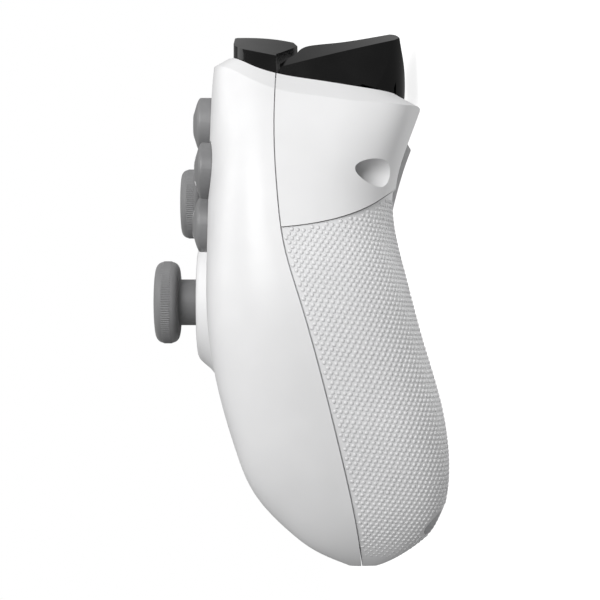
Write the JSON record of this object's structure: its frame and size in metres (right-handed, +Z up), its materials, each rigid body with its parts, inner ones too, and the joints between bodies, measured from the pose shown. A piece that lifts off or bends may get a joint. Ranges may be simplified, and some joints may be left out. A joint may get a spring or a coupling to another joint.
{
  "type": "wireless game controller",
  "caption": "Twin-grip wireless game controller with thumbsticks, direction pad, face buttons, sprung bumpers and triggers, rear paddles and textured grips.",
  "frame": {"origin": "middle of the bounding box, on the surface on which the controller lies on its back", "axes": "+X to the player's right, +Y towards the triggers, +Z up out of the face"},
  "size_m": [0.1518, 0.1056, 0.0579],
  "materials": {
    "shell_white": "fine satin moulded ABS",
    "grip_white": "moulded diamond texture",
    "black_satin": "satin black",
    "button_grey": "satin grey",
    "stick_grey": "soft grey with fine knurl",
    "paddle_grey": "satin light grey",
    "acetal": "smooth low-friction ring",
    "inner_black": "glass-filled nylon",
    "silicone": "translucent silicone",
    "circuit_board": "solder-masked laminate",
    "steel": "plated steel",
    "dark_steel": "black zinc",
    "motor_can": "drawn can",
    "magnet": "nickel plated",
    "battery_wrap": "shrink wrap"
  },
  "bodies": {
    "root": {"front_shell": "shell_white", "rear_shell": "shell_white", "grip_panel_right": "grip_white", "grip_panel_left": "grip_white", "shell_screws": "dark_steel", "top_bridge": "black_satin", "bumper_pins": "steel", "trigger_pins": "steel", "dpad_mat": "silicone", "button_mat": "silicone", "main_board": "circuit_board", "button_board": "circuit_board", "board_header": "inner_black", "mid_frame": "inner_black", "frame_screws": "steel", "battery": "battery_wrap", "usb_connector": "steel", "headset_jack": "inner_black", "trigger_sensor_right": "circuit_board", "trigger_spring_right": "steel", "motor_right": "motor_can", "bumper_switch_right": "inner_black", "stick_ring_right": "acetal", "stick_housing_right": "inner_black", "trigger_sensor_left": "circuit_board", "trigger_spring_left": "steel", "motor_left": "motor_can", "bumper_switch_left": "inner_black", "stick_ring_left": "acetal", "stick_housing_left": "inner_black"},
    "trigger_right": {"trigger_right": "black_satin", "trigger_magnet_right": "magnet"},
    "bumper_right": {"bumper_right": "black_satin"},
    "paddle_right": {"paddle_right": "paddle_grey"},
    "motor_weight_right": {"motor_weight_right": "steel"},
    "stick_frame_right": {"stick_frame_right": "inner_black"},
    "stick_arch_right": {"stick_arch_right": "inner_black"},
    "stick_hub_right": {"stick_hub_right": "inner_black"},
    "stick_right": {"stick_right": "stick_grey"},
    "trigger_left": {"trigger_left": "black_satin", "trigger_magnet_left": "magnet"},
    "bumper_left": {"bumper_left": "black_satin"},
    "paddle_left": {"paddle_left": "paddle_grey"},
    "motor_weight_left": {"motor_weight_left": "steel"},
    "stick_frame_left": {"stick_frame_left": "inner_black"},
    "stick_arch_left": {"stick_arch_left": "inner_black"},
    "stick_hub_left": {"stick_hub_left": "inner_black"},
    "stick_left": {"stick_left": "stick_grey"},
    "button_north": {"button_north": "button_grey"},
    "button_east": {"button_east": "button_grey"},
    "button_south": {"button_south": "button_grey"},
    "button_west": {"button_west": "button_grey"},
    "home_button": {"home_button": "button_grey"},
    "view_button": {"view_button": "button_grey"},
    "menu_button": {"menu_button": "button_grey"},
    "share_button": {"share_button": "button_grey"},
    "dpad_rocker": {"dpad_rocker": "inner_black"},
    "dpad": {"dpad": "button_grey"}
  },
  "joints": [
    {"name": "trigger_right_pull", "type": "hinge", "parent": "root", "child": "trigger_right", "pos_m": [0.038, 0.03941, 0.02498], "axis": [-1, 0, 0], "range_deg": [0, 16], "stiffness_Nm_per_rad": 0.05, "springref_deg": -14.32},
    {"name": "bumper_right_press", "type": "hinge", "parent": "root", "child": "bumper_right", "pos_m": [0.0215, 0.04415, 0.03216], "axis": [0, -0.0727, -0.9974], "range_deg": [0, 2], "stiffness_Nm_per_rad": 1.5, "springref_deg": -1.15},
    {"name": "paddle_right_press", "type": "hinge", "parent": "root", "child": "paddle_right", "pos_m": [0.028, 0.00878, 0.01047], "axis": [1, 0, 0], "range_deg": [0, 3], "stiffness_Nm_per_rad": 1, "springref_deg": -1.72},
    {"name": "motor_right_spin", "type": "hinge", "parent": "root", "child": "motor_weight_right", "pos_m": [0.058, -0.02054, 0.02785], "axis": [0, 0.0727, 0.9974], "continuous": true},
    {"name": "stick_right_tilt_y", "type": "hinge", "parent": "root", "child": "stick_frame_right", "pos_m": [0.02, -0.00038, 0.0362], "axis": [1, 0, 0], "range_deg": [-16, 16], "stiffness_Nm_per_rad": 0.03},
    {"name": "stick_right_tilt_x", "type": "hinge", "parent": "stick_frame_right", "child": "stick_hub_right", "pos_m": [0.02, -0.00038, 0.0362], "axis": [0, 0.9974, -0.0727], "range_deg": [-16, 16], "stiffness_Nm_per_rad": 0.03},
    {"name": "stick_right_arch", "type": "hinge", "parent": "root", "child": "stick_arch_right", "pos_m": [0.02, -0.00038, 0.0362], "axis": [0, 0.9974, -0.0727], "range_deg": [-16, 16]},
    {"name": "stick_right_click", "type": "slide", "parent": "stick_hub_right", "child": "stick_right", "axis": [0, -0.0727, -0.9974], "range_m": [0, 0.0004], "stiffness_N_per_m": 5000, "springref_m": -0.0002},
    {"name": "trigger_left_pull", "type": "hinge", "parent": "root", "child": "trigger_left", "pos_m": [-0.038, 0.03941, 0.02498], "axis": [-1, 0, 0], "range_deg": [0, 16], "stiffness_Nm_per_rad": 0.05, "springref_deg": -14.32},
    {"name": "bumper_left_press", "type": "hinge", "parent": "root", "child": "bumper_left", "pos_m": [-0.0215, 0.04415, 0.03216], "axis": [0, 0.0727, 0.9974], "range_deg": [0, 2], "stiffness_Nm_per_rad": 1.5, "springref_deg": -1.15},
    {"name": "paddle_left_press", "type": "hinge", "parent": "root", "child": "paddle_left", "pos_m": [-0.028, 0.00878, 0.01047], "axis": [1, 0, 0], "range_deg": [0, 3], "stiffness_Nm_per_rad": 1, "springref_deg": -1.72},
    {"name": "motor_left_spin", "type": "hinge", "parent": "root", "child": "motor_weight_left", "pos_m": [-0.058, -0.02054, 0.02785], "axis": [0, 0.0727, 0.9974], "continuous": true},
    {"name": "stick_left_tilt_y", "type": "hinge", "parent": "root", "child": "stick_frame_left", "pos_m": [-0.043, 0.0247, 0.03367], "axis": [1, 0, 0], "range_deg": [-16, 16], "stiffness_Nm_per_rad": 0.03},
    {"name": "stick_left_tilt_x", "type": "hinge", "parent": "stick_frame_left", "child": "stick_hub_left", "pos_m": [-0.043, 0.0247, 0.03367], "axis": [0, 0.9974, -0.0727], "range_deg": [-16, 16], "stiffness_Nm_per_rad": 0.03},
    {"name": "stick_left_arch", "type": "hinge", "parent": "root", "child": "stick_arch_left", "pos_m": [-0.043, 0.0247, 0.03367], "axis": [0, 0.9974, -0.0727], "range_deg": [-16, 16]},
    {"name": "stick_left_click", "type": "slide", "parent": "stick_hub_left", "child": "stick_left", "axis": [0, -0.0727, -0.9974], "range_m": [0, 0.0004], "stiffness_N_per_m": 5000, "springref_m": -0.0002},
    {"name": "button_north_press", "type": "slide", "parent": "root", "child": "button_north", "axis": [0, -0.0727, -0.9974], "range_m": [0, 0.0013], "stiffness_N_per_m": 400, "springref_m": -0.0005},
    {"name": "button_east_press", "type": "slide", "parent": "root", "child": "button_east", "axis": [0, -0.0727, -0.9974], "range_m": [0, 0.0013], "stiffness_N_per_m": 400, "springref_m": -0.0005},
    {"name": "button_south_press", "type": "slide", "parent": "root", "child": "button_south", "axis": [0, -0.0727, -0.9974], "range_m": [0, 0.0013], "stiffness_N_per_m": 400, "springref_m": -0.0005},
    {"name": "button_west_press", "type": "slide", "parent": "root", "child": "button_west", "axis": [0, -0.0727, -0.9974], "range_m": [0, 0.0013], "stiffness_N_per_m": 400, "springref_m": -0.0005},
    {"name": "home_button_press", "type": "slide", "parent": "root", "child": "home_button", "axis": [0, -0.0727, -0.9974], "range_m": [0, 0.0006], "stiffness_N_per_m": 800, "springref_m": -0.0003},
    {"name": "view_button_press", "type": "slide", "parent": "root", "child": "view_button", "axis": [0, -0.0727, -0.9974], "range_m": [0, 0.0006], "stiffness_N_per_m": 800, "springref_m": -0.0003},
    {"name": "menu_button_press", "type": "slide", "parent": "root", "child": "menu_button", "axis": [0, -0.0727, -0.9974], "range_m": [0, 0.0006], "stiffness_N_per_m": 800, "springref_m": -0.0003},
    {"name": "share_button_press", "type": "slide", "parent": "root", "child": "share_button", "axis": [0, -0.0727, -0.9974], "range_m": [0, 0.0006], "stiffness_N_per_m": 800, "springref_m": -0.0003},
    {"name": "dpad_tilt_y", "type": "hinge", "parent": "root", "child": "dpad_rocker", "pos_m": [-0.02, 0.00074, 0.03773], "axis": [1, 0, 0], "range_deg": [-4, 4], "stiffness_Nm_per_rad": 0.1},
    {"name": "dpad_tilt_x", "type": "hinge", "parent": "dpad_rocker", "child": "dpad", "pos_m": [-0.02, 0.00074, 0.03773], "axis": [0, 0.9974, -0.0727], "range_deg": [-4, 4], "stiffness_Nm_per_rad": 0.1}
  ],
  "couplings": [
    {"joint": "stick_right_arch", "follows": "stick_right_tilt_x", "ratio": 1},
    {"joint": "stick_left_arch", "follows": "stick_left_tilt_x", "ratio": 1}
  ]
}
